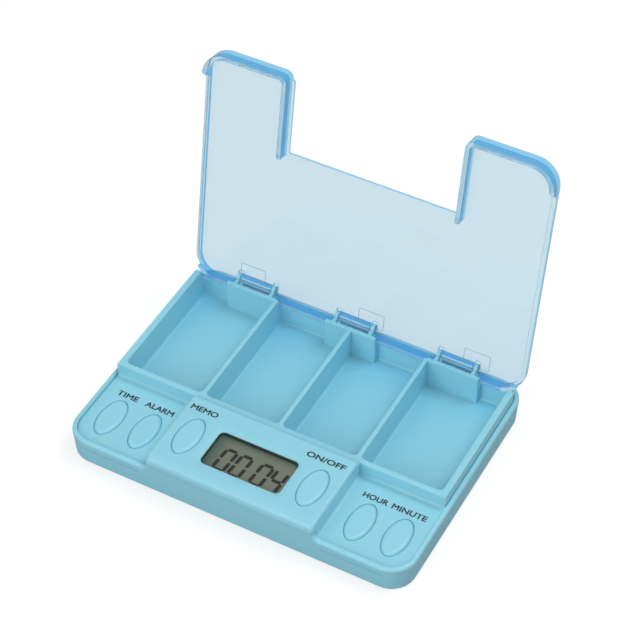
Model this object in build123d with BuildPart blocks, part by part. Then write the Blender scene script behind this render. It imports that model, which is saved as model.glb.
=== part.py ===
"""Pocket pill box with an alarm clock: a case with four compartments, a key console and a hinged clear lid.

Millimetres, +Z up. The origin is the middle of the case's underside, the keys and the display face -Y,
and the lid is modelled open, leaning back on its stops.
"""
from math import cos, radians, sin
import os

from build123d import *

# Case: a drafted tub with rounded corners
case_width = 115.0
case_depth = 83.0
case_corner = 8.5
rim_height = 9.4
case_draft = 0.7
case_wall = 1.5
case_floor = 1.4
case_edge_round = 0.8
rim_round = 1.0
grip_line_height = 6.3
grip_line_width = 0.5
grip_line_depth = 0.3
floor_pad_height = 0.2
pad_inset = 6.0
pad_width = 1.2

# Top housing: compartments at the back, two low key panels at the front
housing_gap = 0.3
tray_height = 13.2
tray_rim_width = 2.1
tray_wall = 1.3
tray_floor_top = 2.6
divider_thickness = 1.4
tray_front_wall = 1.8
tray_to_board = 0.9
tray_to_back_screws = 3.6
ledge_height = 8.9
panel_height = 8.4
panel_thickness = 1.3
shell_wall = 1.4
pocket_round = 0.8
pocket_corner = 1.5
tray_corner = 4.0
rim_edge_round = 0.3
base_round = 1.0

# Distances from the case's front face back to the things on the front
front_to_tray = 29.2
front_to_console_back = 28.0
front_to_keys = 13.3
front_to_window = 13.2
front_to_board = 2.9
front_to_front_screws = 5.2

# Distances from the case's back face forward to the hinge and the tray's back
back_to_hinge = 3.7
back_to_tray = 5.5
back_to_blocks = 8.1
back_to_rim_ends = 7.1

# Distances from the case's sides in to the keys, the hinges and the board's ends
side_to_outer_key = 9.2
side_to_inner_key = 21.1
side_to_hinge = 22.3
side_to_board = 4.9
side_to_back_screws = 5.1
side_to_grip_line = 6.9
grip_line_length = 20.2
divider_pitch = 26.3

# Console: the raised block between the key panels
console_width = 55.8
console_top = 1.5
console_side_to_key = 7.1
console_side_to_screw = 2.4
console_seam_height = 11.4
nose_round = 3.0
nose_wall = 1.7
console_back_round = 0.6
window_to_key = 3.7
window_depth = 13.6
window_corner = 1.8
window_bevel_width = 1.6
window_bevel_depth = 0.4

# Keys: oval caps that slide down in the housing
key_half_width = 3.8
key_half_length = 7.3
key_gap = 0.15
key_opening_round = 0.35
key_proud = 0.4
key_flange = 0.8
key_flange_lip = 0.6
key_flange_gap = 0.05
key_round = 1.1
key_travel = 0.5
key_stem_radius = 1.5

# Hinge and lid
open_angle = 100.3
barrel_radius = 1.5
pin_radius = 0.6
pin_fixed_clearance = 0.01
pin_turning_clearance = 0.05
barrel_length = 10.7
block_width = 17.5
block_overlap = 0.5
knuckle_side_gap = 0.3
lug_thickness = 1.2
stop_gap = 0.15
lid_plate = 1.2
lid_over_rim = 0.4
lid_wall = 1.4
lid_inset = 0.2
lid_back_inset = 0.4
lid_front_inset = 0.7
lid_corner = 8.0
lid_edge_round = 0.5
lid_side_depth = 2.4
lid_back_depth = 4.0
lid_skirt_depth = 5.3
skirt_length = 7.8
skirt_slant = 2.4
notch_side_gap = 1.1
notch_back_gap = 0.3
flange_side_gap = 0.3
flange_setback = 2.7
flange_corner = 0.6
notch_front_corner = 2.5
notch_back_corner = 1.4
notch_wall_gap = 0.3
knuckle_cut_front = 1.9
bead_radius = 0.3
bead_length = 15.0
bead_drop = 4.6

# Circuit board and what stands on it
board_top = 4.2
board_thickness = 0.8
board_corner = 5.0
cutout_gap = 0.4
mat_thickness = 0.6
mat_depth = 9.6
pill_height = 0.3
pill_radius = 1.9
chip_radius = 4.0
chip_height = 1.2
chip_round = 1.0
crystal_radius = 1.0
crystal_length = 6.0
crystal_x = -7.5
board_back_to_chip = 4.6
board_back_to_crystal = 3.6
chip_part_x = 6.0
chip_part_pitch_x = 2.8
chip_part_pitch_y = 2.2
board_back_to_chip_part = 2.2
chip_part_length = 1.6
chip_part_width = 0.8
chip_part_height = 0.5

# Display: a glass sandwich in a frame, joined to the board by a rubber strip
glass_side_lap = 1.2
glass_depth = 17.4
glass_thickness = 2.2
film_thickness = 0.2
polariser_inset = 0.3
reflector_inset = 0.5
glass_front_gap = 0.2
contact_strip_room = 2.2
display_gap = 0.1
holder_wall = 1.1
holder_gap = 0.1
holder_shelf = 1.6
holder_lip = 0.6
ear_thickness = 1.1
ear_drop = 1.5
glass_side_to_ear = 2.5
console_back_to_ear = 3.1
ear_radius = 1.6
small_screw_radius = 0.7
small_head_radius = 1.3
small_head_height = 0.8
glass_side_to_strip = 1.9
strip_thickness = 1.6
strip_inset = 0.9

# Power: two button cells in a cage, reached by a door in the floor
cell_radius = 5.8
cell_height = 5.4
cell_to_cell = 0.6
cell_step_height = 0.6
cell_step_width = 0.9
cell_round = 0.4
cell_clearance = 0.1
cage_wall = 0.8
cage_roof = 0.8
contact_thickness = 0.25
door_side_lap = 1.9
door_end_lap = 2.0
door_thickness = 1.2
door_gap = 0.15
door_corner = 0.8
door_edge_to_groove = 2.0
door_ledge = 1.0
contact_foot = 1.0
contact_to_cage = 0.05
contact_to_strip = 0.3
door_groove_length = 10.0
door_groove_width = 1.2
door_groove_depth = 0.4
strap_width = 3.0
strap_gap = 0.2
plate_size = 7.0
door_contact_reach = 3.0

# Screws
screw_radius = 0.8
screw_clearance = 0.15
thread_clearance = 0.02
screw_head_radius = 1.9
screw_head_height = 0.9
screw_head_sink = 0.2
slot_width = 0.4
slot_depth = 0.35
case_boss_radius = 2.9
case_boss_height = 2.6
housing_boss_radius = 1.9
board_screw_length = 2.6
case_screw_bite = 3.4
case_pilot_spare = 0.3
pilot_spare = 0.1
boss_overlap = 0.5
console_boss_overlap = 0.8

# Buzzer: a disc over sound holes in the floor
buzzer_radius = 6.0
buzzer_x = 22.5
front_to_buzzer = 21.0
buzzer_ring_height = 0.6
buzzer_disc = 0.3
spring_offset = 2.5
spring_radius = 0.35
sound_hole_radius = 0.6
sound_ring_radius = 2.4
buzzer_ring_wall = 1.0

# Snap tabs along the back hold the housing down where no screw reaches
snap_spread = 18.0
tab_width = 6.0
tab_thickness = 1.2
tab_drop = 1.6
tab_nose = 0.5
tab_nose_height = 0.8
tab_nose_base = 0.5
tab_inset = 0.2
catch_gap = 0.3
catch_depth_gap = 0.15
catch_height_gap = 0.2

# Derived places
console_height = tray_height + lid_over_rim + lid_plate
hinge_z = tray_height
side = case_width / 2
front = -case_depth / 2
back = case_depth / 2
far = case_width + case_depth
housing_inset = case_wall + housing_gap
housing_half_width = side - housing_inset
housing_front = front + housing_inset
housing_back = back - housing_inset
housing_corner = case_corner - housing_inset
tray_inner_half = housing_half_width - tray_rim_width
tray_bottom = case_floor + floor_pad_height
tray_outer_front = front + front_to_tray
tray_front = tray_outer_front + tray_front_wall
tray_back = back - back_to_tray
rim_ends = back - back_to_rim_ends
block_front = back - back_to_blocks
console_back = front + front_to_console_back
console_half_width = console_width / 2
console_inner_half = console_half_width - shell_wall
console_inner_front = front + case_wall + nose_wall
console_underside = console_height - console_top
hollow_top = min(tray_height, console_height) - console_top
panel_underside = panel_height - panel_thickness
divider_places = [step * divider_pitch for step in (-1, 0, 1)]
knuckle_places = [step * (side - side_to_hinge) for step in (-1, 0, 1)]
key_y = front + front_to_keys
window_y = front + front_to_window
outer_key_x = side - side_to_outer_key
inner_key_x = side - side_to_inner_key
console_key_x = console_half_width - console_side_to_key
window_width = 2 * (console_key_x - key_half_width - window_to_key)
low_keys = {
    "button_time": -outer_key_x,
    "button_alarm": -inner_key_x,
    "button_hour": inner_key_x,
    "button_minute": outer_key_x,
}
console_keys = {"button_memo": -console_key_x, "button_on_off": console_key_x}
hinge_y = back - back_to_hinge
turn = radians(open_angle)
rise = console_seam_height - rim_height

# Inside the front: board, mats, display and battery heights
board_underside = board_top - board_thickness
board_half_width = side - side_to_board
board_front = front + front_to_board
board_back = tray_outer_front - tray_to_board
mat_top = board_top + mat_thickness
pill_top = mat_top + pill_height
stem_bottom = pill_top + key_travel + key_flange_gap
glass_width = window_width + 2 * glass_side_lap
strip_width = glass_width - 2 * glass_side_to_strip
glass_top = console_underside - display_gap - film_thickness
glass_bottom = glass_top - glass_thickness
display_bottom = glass_bottom - film_thickness
ear_top = console_underside - ear_drop
ear_x = glass_width / 2 - glass_side_to_ear
strip_y = window_y + glass_depth / 2 - strip_inset
cell_bottom = door_thickness + contact_thickness
cell_top = cell_bottom + cell_height
cage_bottom = door_thickness + door_ledge
cell_spacing = 2 * cell_radius + cell_to_cell
cage_half_width = cell_spacing / 2 + cell_radius + cell_clearance + cage_wall
cage_half_depth = cell_radius + cell_clearance + cage_wall
foot_back = strip_y - strip_thickness / 2 - contact_to_strip
strap_back = foot_back - contact_foot
cell_y = strap_back - contact_thickness - contact_to_cage - cage_half_depth
opening_half_width = cage_half_width - cage_wall + cell_clearance
opening_half_depth = cage_half_depth - cage_wall + cell_clearance
door_width = 2 * (opening_half_width + door_side_lap)
door_depth = 2 * (opening_half_depth + door_end_lap)
cutout_half_width = cage_half_width + cutout_gap
cutout_back = cell_y + cage_half_depth + cutout_gap

# Screw places
back_screw_y = tray_outer_front - tray_to_back_screws
case_screw_places = []
for step in (-1, 1):
    case_screw_places.append(
        (step * (console_half_width + console_side_to_screw), front + front_to_front_screws)
    )
    case_screw_places.append((step * (side - side_to_back_screws), back_screw_y))
board_screw_places = [(step * (inner_key_x + outer_key_x) / 2, back_screw_y) for step in (-1, 0, 1)]
ear_places = [(step * ear_x, console_back - console_back_to_ear) for step in (-1, 1)]

# Lid places, measured from the hinge axis along the closed lid
lid_top = console_height - hinge_z
lid_underside = lid_top - lid_plate
lid_back = back - lid_back_inset - hinge_y
lid_front = front + lid_front_inset - hinge_y
lid_half_width = side - lid_inset
notch_half_width = console_half_width + notch_side_gap
flange_half_width = console_half_width + flange_side_gap
notch_back = console_back + notch_back_gap - hinge_y
notch_wall_end = tray_outer_front - notch_wall_gap - hinge_y
lug_x = barrel_length / 2 + knuckle_side_gap + lug_thickness / 2
knuckle_cut_half = lug_x + lug_thickness / 2 + knuckle_side_gap
pin_length = 2 * lug_x + lug_thickness
lid_frame = Plane(
    origin=(0, hinge_y, hinge_z), x_dir=(1, 0, 0), z_dir=(0, sin(turn), cos(turn))
)
lid_side = Plane(
    origin=(0, hinge_y, hinge_z), x_dir=(0, cos(turn), -sin(turn)), z_dir=(1, 0, 0)
)

# The open lid's back wall swings under the hinge and stops just behind the blocks' front walls
wall_rim = lid_top - lid_back_depth
block_back = hinge_y + lid_back * cos(turn) + wall_rim * sin(turn) - stop_gap

os.makedirs("parts", exist_ok=True)


def save(piece, node):
    """Label a finished piece and write it to its own file."""
    piece.part.label = node
    export_step(piece.part, f"parts/{node}.step")


def box_between(low, high, mode=Mode.ADD):
    """An upright box between two opposite corners."""
    size = [b - a for a, b in zip(low, high)]
    middle = tuple((a + b) / 2 for a, b in zip(low, high))
    with Locations(middle):
        Box(*size, mode=mode)


def upright_rod(place, low, high, radius, mode=Mode.ADD):
    """A vertical cylinder at (x, y) between two heights."""
    with Locations((place[0], place[1], (low + high) / 2)):
        Cylinder(radius, high - low, mode=mode)


def case_shrink(height, inset):
    """How far the drafted case's outline lies inside its full size at one height."""
    return inset + case_draft * (1 - height / console_seam_height)


def case_tub(low, high, inset, mode=Mode.ADD):
    """A drafted tub or its hollow between two heights."""
    outlines = []
    for height in (low, high):
        shrink = case_shrink(height, inset)
        with BuildSketch(Plane.XY.offset(height)) as outline:
            RectangleRounded(case_width - 2 * shrink, case_depth - 2 * shrink, case_corner - shrink)
        outlines.append(outline.sketch)
    loft(outlines, ruled=True, mode=mode)


def is_outer_rim(edge):
    """True for the tub's outer top edges and the sweeps up to the raised front."""
    middle = edge @ 0.5
    near_console = abs(middle.X) < console_half_width + rise + 0.1
    inside_raised_front = near_console and middle.Y < front + 2 * case_wall + 0.1
    on_rim = abs(middle.Z - rim_height) < 0.01 and not inside_raised_front
    on_sweep = middle.Y < front + 0.3 and rim_height + 0.01 < middle.Z < console_seam_height - 0.01
    return on_rim or on_sweep


# Bottom case: tub, raised front under the console, screw bosses, battery door opening, sound holes
with BuildPart() as bottom_case:
    case_tub(0, console_seam_height, 0)
    fillet(bottom_case.faces().sort_by(Axis.Z)[0].edges(), case_edge_round)
    # Above the rim only the front wall under the console stays, with a concave sweep at each end
    with BuildSketch(Plane.XZ):
        with BuildLine():
            Polyline(
                (console_half_width + rise, rim_height),
                (far, rim_height),
                (far, console_height),
                (console_half_width, console_height),
                (console_half_width, console_seam_height),
            )
            RadiusArc(
                (console_half_width, console_seam_height), (console_half_width + rise, rim_height), -rise
            )
        make_face()
        mirror(about=Plane.YZ)
    extrude(amount=case_depth, both=True, mode=Mode.SUBTRACT)
    box_between((-far, front + 2 * case_wall, rim_height), (far, far, console_height), Mode.SUBTRACT)
    fillet(bottom_case.edges().filter_by(is_outer_rim), rim_round)
    case_tub(case_floor, console_seam_height, case_wall, Mode.SUBTRACT)
    # Battery door: a rebate in the underside and a smaller opening in a thickened frame
    frame_half_width = door_width / 2 + case_wall
    frame_half_depth = door_depth / 2 + case_wall
    box_between(
        (-frame_half_width, cell_y - frame_half_depth, case_floor),
        (frame_half_width, cell_y + frame_half_depth, cage_bottom),
    )
    for half_width, half_depth, top in (
        (door_width / 2 + door_gap, door_depth / 2 + door_gap, door_thickness),
        (opening_half_width, opening_half_depth, cage_bottom),
    ):
        box_between(
            (-half_width, cell_y - half_depth, 0), (half_width, cell_y + half_depth, top), Mode.SUBTRACT
        )
    for place in case_screw_places:
        upright_rod(place, case_floor / 2, case_boss_height, case_boss_radius)
        sink = screw_head_height + screw_head_sink
        upright_rod(place, 0, sink, screw_head_radius + screw_clearance, Mode.SUBTRACT)
        upright_rod(place, 0, case_boss_height, screw_radius + screw_clearance, Mode.SUBTRACT)
    # Pads under the compartments
    for y in (tray_front + pad_inset, (tray_front + tray_back) / 2, tray_back - pad_inset):
        box_between(
            (-housing_half_width + pad_inset, y - pad_width / 2, case_floor),
            (housing_half_width - pad_inset, y + pad_width / 2, tray_bottom),
        )
    # A ring for the buzzer with sound holes inside it
    buzzer_place = (buzzer_x, front + front_to_buzzer)
    ring_top = case_floor + buzzer_ring_height
    upright_rod(buzzer_place, case_floor, ring_top, buzzer_radius)
    upright_rod(buzzer_place, case_floor, ring_top, buzzer_radius - buzzer_ring_wall, Mode.SUBTRACT)
    with Locations((*buzzer_place, case_floor / 2)):
        Cylinder(sound_hole_radius, case_floor, mode=Mode.SUBTRACT)
        with PolarLocations(sound_ring_radius, 6):
            Cylinder(sound_hole_radius, case_floor, mode=Mode.SUBTRACT)
    # Grip lines scored in the front face beside the console
    for step in (-1, 1):
        grip_middle = side - side_to_grip_line - grip_line_length / 2
        with Locations((step * grip_middle, front, grip_line_height)):
            Box(
                grip_line_length,
                2 * (grip_line_depth + case_shrink(grip_line_height, 0)),
                grip_line_width,
                mode=Mode.SUBTRACT,
            )
    # Catches for the housing's snap tabs in the back wall
    for step in (-1, 1):
        box_between(
            (
                step * snap_spread - tab_width / 2 - catch_gap,
                0,
                panel_underside - tab_drop - catch_height_gap,
            ),
            (
                step * snap_spread + tab_width / 2 + catch_gap,
                housing_back + tab_nose + catch_depth_gap,
                panel_underside - tab_drop + tab_nose_height + catch_height_gap,
            ),
            Mode.SUBTRACT,
        )
save(bottom_case, "bottom_case")

# Console block: its top rolls over the front in a round nose
with BuildPart() as console_block:
    with BuildSketch(Plane.YZ):
        with BuildLine():
            Line((front, console_seam_height), (front, console_height - nose_round))
            RadiusArc((front, console_height - nose_round), (front + nose_round, console_height), nose_round)
            Polyline(
                (front + nose_round, console_height),
                (console_back, console_height),
                (console_back, panel_underside),
                (housing_front, panel_underside),
                (housing_front, console_seam_height),
                (front, console_seam_height),
            )
        make_face()
    extrude(amount=console_half_width, both=True)
    side_edges = [
        edge
        for edge in console_block.edges()
        if abs(abs((edge @ 0.5).X) - console_half_width) < 0.01
        and (edge @ 0.5).Z > console_seam_height + 0.01
        and (edge @ 0.5).Y < console_back - 0.01
    ]
    fillet(side_edges, rim_round)
    back_edge = console_block.edges().filter_by(
        lambda edge: abs((edge @ 0.5).Y - console_back) < 0.01 and abs((edge @ 0.5).Z - console_height) < 0.01
    )
    fillet(back_edge, console_back_round)

# Top housing: four compartments, the console and the key panels in one moulding
with BuildPart() as top_housing:
    with BuildSketch(Plane.XY.offset(panel_underside)):
        RectangleRounded(2 * housing_half_width, housing_back - housing_front, housing_corner)
    extrude(amount=tray_height - panel_underside)
    box_between((-far, -far, panel_height), (far, tray_outer_front, far), Mode.SUBTRACT)
    box_between((-far, rim_ends, ledge_height), (far, far, far), Mode.SUBTRACT)
    # The compartments' well hangs below the rim
    well_back = tray_back + tray_wall
    with BuildSketch(Plane.XY.offset(tray_bottom)):
        with Locations((0, (tray_outer_front + well_back) / 2)):
            RectangleRounded(
                2 * (tray_inner_half + tray_wall), well_back - tray_outer_front, tray_corner
            )
    extrude(amount=panel_height - tray_bottom)
    # Four compartments between three dividers
    edges_across = [
        -tray_inner_half - divider_thickness / 2,
        *divider_places,
        tray_inner_half + divider_thickness / 2,
    ]
    with BuildSketch(Plane.XY.offset(tray_floor_top)):
        for left, right in zip(edges_across, edges_across[1:]):
            with Locations(((left + right) / 2, (tray_front + tray_back) / 2)):
                RectangleRounded(right - left - divider_thickness, tray_back - tray_front, pocket_corner)
    extrude(amount=far, mode=Mode.SUBTRACT)
    fillet(
        top_housing.edges().filter_by(lambda edge: abs((edge @ 0.5).Z - tray_floor_top) < 0.01),
        pocket_round,
    )
    fillet(
        top_housing.edges().filter_by(lambda edge: abs((edge @ 0.5).Z - tray_height) < 0.01),
        rim_edge_round,
    )
    # Console and low panels; the rim runs on up to the console's back
    add(console_block.part)
    box_between(
        (-console_half_width, console_back - shell_wall, panel_underside),
        (console_half_width, tray_front - rim_edge_round, tray_height),
    )
    base_edges = [
        edge
        for edge in top_housing.edges()
        if abs((edge @ 0.5).Z - panel_height) < 0.01
        and abs((edge @ 0.5).X) > console_half_width - 0.01
        and housing_front + 1 < (edge @ 0.5).Y < tray_outer_front + 0.01
        and abs((edge @ 0.5).X) < tray_inner_half
    ]
    fillet(base_edges, base_round)
    box_between(
        (-console_inner_half, console_inner_front, 0),
        (console_inner_half, tray_outer_front, hollow_top),
        Mode.SUBTRACT,
    )
    box_between(
        (-console_inner_half, console_inner_front, 0),
        (console_inner_half, console_back - shell_wall, console_underside),
        Mode.SUBTRACT,
    )
    # Display window with a shallow slope down to it on all sides
    slope = []
    for height, grow in ((console_height, window_bevel_width), (console_height - window_bevel_depth, 0)):
        with BuildSketch(Plane.XY.offset(height), mode=Mode.PRIVATE) as outline:
            with Locations((0, window_y)):
                RectangleRounded(window_width + 2 * grow, window_depth + 2 * grow, window_corner + grow / 2)
        slope.append(outline.sketch)
    loft(slope, ruled=True, mode=Mode.SUBTRACT)
    with BuildSketch(Plane.XY.offset(console_height)):
        with Locations((0, window_y)):
            RectangleRounded(window_width, window_depth, window_corner)
    extrude(amount=-2 * console_top, mode=Mode.SUBTRACT)
    # Key openings
    for height, places in ((panel_height, low_keys), (console_height, console_keys)):
        with BuildSketch(Plane.XY.offset(height)):
            with Locations([(x, key_y) for x in places.values()]):
                Ellipse(key_half_width + key_gap, key_half_length + key_gap)
        extrude(amount=-2 * panel_thickness, mode=Mode.SUBTRACT)
        opening_edges = [
            edge
            for edge in top_housing.edges()
            if abs((edge @ 0.5).Z - height) < 0.01
            and min(abs((edge @ 0.5).X - x) for x in places.values()) < key_half_width + 2 * key_gap
            and abs((edge @ 0.5).Y - key_y) < key_half_length + 2 * key_gap
        ]
        fillet(opening_edges, key_opening_round)
    # Screw bosses hanging from the panels and the console
    for place in case_screw_places:
        upright_rod(place, case_boss_height, panel_height - boss_overlap, housing_boss_radius)
        pilot_top = case_boss_height + case_screw_bite + case_pilot_spare
        upright_rod(place, case_boss_height, pilot_top, screw_radius + thread_clearance, Mode.SUBTRACT)
    for place in board_screw_places:
        under_console = abs(place[0]) < console_half_width
        boss_top = console_height - console_boss_overlap if under_console else panel_height - boss_overlap
        upright_rod(place, board_top, boss_top, housing_boss_radius)
        pilot_top = board_top + board_screw_length + pilot_spare
        upright_rod(place, board_top, pilot_top, screw_radius + thread_clearance, Mode.SUBTRACT)
    for place in ear_places:
        upright_rod(place, ear_top, console_height - console_boss_overlap, ear_radius)
        pilot_top = console_underside - pilot_spare
        upright_rod(place, ear_top, pilot_top, small_screw_radius + thread_clearance, Mode.SUBTRACT)
    # Snap tabs under the back ledge
    tab_back = housing_back - tab_inset
    tab_bottom = panel_underside - tab_drop
    for step in (-1, 1):
        left = step * snap_spread - tab_width / 2
        right = step * snap_spread + tab_width / 2
        box_between((left, tab_back - tab_thickness, tab_bottom), (right, tab_back, panel_height))
        nose_top = tab_bottom + tab_nose_height
        box_between(
            (left, tab_back - tab_nose_base, tab_bottom), (right, housing_back + tab_nose, nose_top)
        )
    # Hinge blocks: a stop wall, and a lug on each side of the lid's barrel
    for x in knuckle_places:
        for wall_back, top in ((tray_back + block_overlap, ledge_height), (block_back, tray_height)):
            box_between(
                (x - block_width / 2, block_front, tray_bottom), (x + block_width / 2, wall_back, top)
            )
        for lug_middle in (x - lug_x, x + lug_x):
            box_between(
                (lug_middle - lug_thickness / 2, block_front, hinge_z - barrel_radius),
                (lug_middle + lug_thickness / 2, hinge_y, hinge_z),
            )
            with Locations((lug_middle, hinge_y, hinge_z)):
                Cylinder(barrel_radius, lug_thickness, rotation=(0, 90, 0))
        with Locations((x, hinge_y, hinge_z)):
            Cylinder(pin_radius + pin_fixed_clearance, pin_length, rotation=(0, 90, 0), mode=Mode.SUBTRACT)
save(top_housing, "top_housing")


def lid_outline(inset):
    """The lid's outline around its notch for the console, moved inwards by inset."""
    with BuildSketch() as outline:
        with Locations((0, (lid_front + lid_back) / 2)):
            RectangleRounded(
                2 * (lid_half_width - inset), lid_back - lid_front - 2 * inset, lid_corner - inset
            )
        notch_edge = notch_back + inset
        with Locations((0, (notch_edge + lid_front - 5) / 2)):
            Rectangle(2 * (notch_half_width + inset), notch_edge - lid_front + 5, mode=Mode.SUBTRACT)
        notch_corners = [v for v in outline.vertices() if abs(v.X) < notch_half_width + inset + 0.1]
        front_corners = [v for v in notch_corners if v.Y < notch_edge - 1]
        back_corners = [v for v in notch_corners if v.Y > notch_edge - 1]
        fillet(front_corners, notch_front_corner - inset)
        fillet(back_corners, notch_back_corner + inset)
    return outline.sketch


def plate_outline():
    """The lid's plate: its outline with a narrow flange on each side of the notch, over the gap there."""
    flange_front = lid_front + flange_setback
    flange_back = notch_back + notch_back_corner + lid_wall
    flange_middle = (flange_half_width + notch_half_width + lid_wall) / 2
    flange_width = notch_half_width + lid_wall - flange_half_width
    with BuildSketch() as outline:
        add(lid_outline(0))
        with Locations([(step * flange_middle, (flange_front + flange_back) / 2) for step in (-1, 1)]):
            Rectangle(flange_width, flange_back - flange_front)
        flange_ends = [v for v in outline.vertices() if abs(abs(v.X) - flange_half_width) < 0.01]
        fillet([v for v in flange_ends if v.Y < flange_front + 0.01], flange_corner)
        fillet([v for v in flange_ends if v.Y > flange_front + 0.01], notch_back_corner)
    return outline.sketch


# Lid: clear plate with hanging walls and three barrels on the hinge axis
with BuildPart() as lid:
    with BuildSketch(lid_frame.offset(lid_underside)):
        add(plate_outline())
    extrude(amount=lid_plate)
    top_face = lid.faces().filter_by(lambda face: face.normal_at().dot(lid_frame.z_dir) > 0.99)[0]
    fillet(top_face.edges(), lid_edge_round)
    # Walls follow the outline, except along the back of the notch, where the plate lies over the rim
    with BuildSketch(lid_frame.offset(lid_underside)):
        add(lid_outline(0))
        add(lid_outline(lid_wall), mode=Mode.SUBTRACT)
        notch_clear = notch_half_width + lid_wall + 0.1
        for half_width, wall_end in ((notch_clear, notch_wall_end), (notch_half_width, notch_back - 1)):
            with Locations((0, (wall_end + notch_back + 6) / 2)):
                Rectangle(2 * half_width, notch_back + 6 - wall_end, mode=Mode.SUBTRACT)
    extrude(amount=-(lid_skirt_depth - lid_plate))
    # Side walls are shallow, with a slanted step to the deep front skirts
    slant_start = lid_front + skirt_length
    for step in (-1, 1):
        with BuildSketch(lid_side.offset(step * (notch_clear + lid_wall))):
            with BuildLine():
                Polyline(
                    (slant_start, -far),
                    (slant_start, lid_top - lid_skirt_depth),
                    (slant_start + skirt_slant, lid_top - lid_side_depth),
                    (0, lid_top - lid_side_depth),
                    (0, -far),
                    (slant_start, -far),
                )
            make_face()
        extrude(amount=step * far, mode=Mode.SUBTRACT)
    with BuildSketch(lid_frame.offset(wall_rim)):
        with Locations((0, 0)):
            Rectangle(2 * far, 2 * abs(lid_front) / 3)
    extrude(amount=-far, mode=Mode.SUBTRACT)
    # Bead lines inside the front skirts
    for step in (-1, 1):
        bead_x = step * (notch_half_width + lid_half_width) / 2
        bead_place = lid_frame.from_local_coords((bead_x, lid_front + lid_wall, lid_top - bead_drop))
        with Locations(bead_place):
            Cylinder(bead_radius, bead_length, rotation=(0, 90, 0))
    # The back wall stops short of each hinge, and slots in the plate clear the housing's lugs
    cut_middle = (lid_back + 1 - knuckle_cut_front) / 2
    cut_depth = lid_back + 1 + knuckle_cut_front
    with BuildSketch(lid_frame.offset(lid_underside)):
        with Locations([(x, cut_middle) for x in knuckle_places]):
            Rectangle(2 * knuckle_cut_half, cut_depth)
    extrude(amount=-far, mode=Mode.SUBTRACT)
    with BuildSketch(lid_frame.offset(lid_top)):
        with Locations([(x + step * lug_x, cut_middle) for x in knuckle_places for step in (-1, 1)]):
            Rectangle(lug_thickness + 2 * knuckle_side_gap, cut_depth)
    extrude(amount=-far, mode=Mode.SUBTRACT)
    for x in knuckle_places:
        with Locations((x, hinge_y, hinge_z)):
            Cylinder(barrel_radius, barrel_length, rotation=(0, 90, 0))
            Cylinder(
                pin_radius + pin_turning_clearance, barrel_length, rotation=(0, 90, 0), mode=Mode.SUBTRACT
            )
save(lid, "lid")

# Hinge pins: three short plastic pins through the lid's barrels and the housing's lugs
with BuildPart() as hinge_pins:
    with Locations([(x, hinge_y, hinge_z) for x in knuckle_places]):
        Cylinder(pin_radius, pin_length, rotation=(0, 90, 0))
save(hinge_pins, "hinge_pins")


def make_key(node, x, panel_top, panel_bottom):
    """One oval key: crowned cap, flange under the panel and a stem down towards the mat."""
    flange_top = panel_bottom - key_flange_gap
    flange_bottom = flange_top - key_flange
    with BuildPart() as key:
        with BuildSketch(Plane.XY.offset(flange_bottom)):
            with Locations((x, key_y)):
                Ellipse(key_half_width, key_half_length)
        extrude(amount=panel_top + key_proud - flange_bottom)
        fillet(key.faces().sort_by(Axis.Z)[-1].edges(), key_round)
        with BuildSketch(Plane.XY.offset(flange_bottom)):
            with Locations((x, key_y)):
                Ellipse(key_half_width + key_flange_lip, key_half_length + key_flange_lip)
        extrude(amount=key_flange)
        upright_rod((x, key_y), stem_bottom, flange_bottom, key_stem_radius)
    save(key, node)


for node, x in low_keys.items():
    make_key(node, x, panel_height, panel_underside)
for node, x in console_keys.items():
    make_key(node, x, console_height, console_underside)


def make_mat(node, places):
    """A rubber mat on the board with a raised contact pill under each key."""
    left = min(places) - pill_radius - 1
    right = max(places) + pill_radius + 1
    with BuildPart() as mat:
        with BuildSketch(Plane.XY.offset(board_top)):
            with Locations(((left + right) / 2, key_y)):
                RectangleRounded(right - left, mat_depth, pill_radius)
        extrude(amount=mat_thickness)
        for x in places:
            upright_rod((x, key_y), board_top, pill_top, pill_radius)
    save(mat, node)


make_mat("keypad_left", [-outer_key_x, -inner_key_x, -console_key_x])
make_mat("keypad_right", [console_key_x, inner_key_x, outer_key_x])

# Circuit board: notched round the screw bosses and the battery cage
with BuildPart() as circuit_board:
    with BuildSketch(Plane.XY.offset(board_underside)) as outline:
        with Locations((0, (board_front + board_back) / 2)):
            Rectangle(2 * board_half_width, board_back - board_front)
        fillet(outline.vertices().sort_by(Axis.Y)[:2], board_corner)
        for x, y in case_screw_places:
            with Locations((x, y)):
                Circle(housing_boss_radius + 0.4, mode=Mode.SUBTRACT)
            reach = board_front - 5 if y < key_y else board_back + 5
            with Locations((x, (y + reach) / 2)):
                Rectangle(2 * housing_boss_radius + 0.8, abs(reach - y), mode=Mode.SUBTRACT)
            if y > key_y:
                with Locations((x + (5 if x > 0 else -5), y + 2)):
                    Rectangle(10, 2 * housing_boss_radius + 4.8, mode=Mode.SUBTRACT)
        with Locations((0, (cutout_back + board_front - 5) / 2)):
            Rectangle(2 * cutout_half_width, cutout_back - board_front + 5, mode=Mode.SUBTRACT)
        with Locations(board_screw_places):
            Circle(screw_radius + screw_clearance, mode=Mode.SUBTRACT)
    extrude(amount=board_thickness)
save(circuit_board, "circuit_board")

# Sealed chip under a drop of resin, and the small parts beside it
with BuildPart() as chip_blob:
    blob_place = (-console_key_x, board_back - board_back_to_chip)
    upright_rod(blob_place, board_top, board_top + chip_height, chip_radius)
    fillet(chip_blob.faces().sort_by(Axis.Z)[-1].edges(), chip_round)
save(chip_blob, "chip_blob")

with BuildPart() as crystal:
    with Locations((crystal_x, board_back - board_back_to_crystal, board_top + crystal_radius)):
        Cylinder(crystal_radius, crystal_length, rotation=(0, 90, 0))
save(crystal, "crystal")

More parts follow.
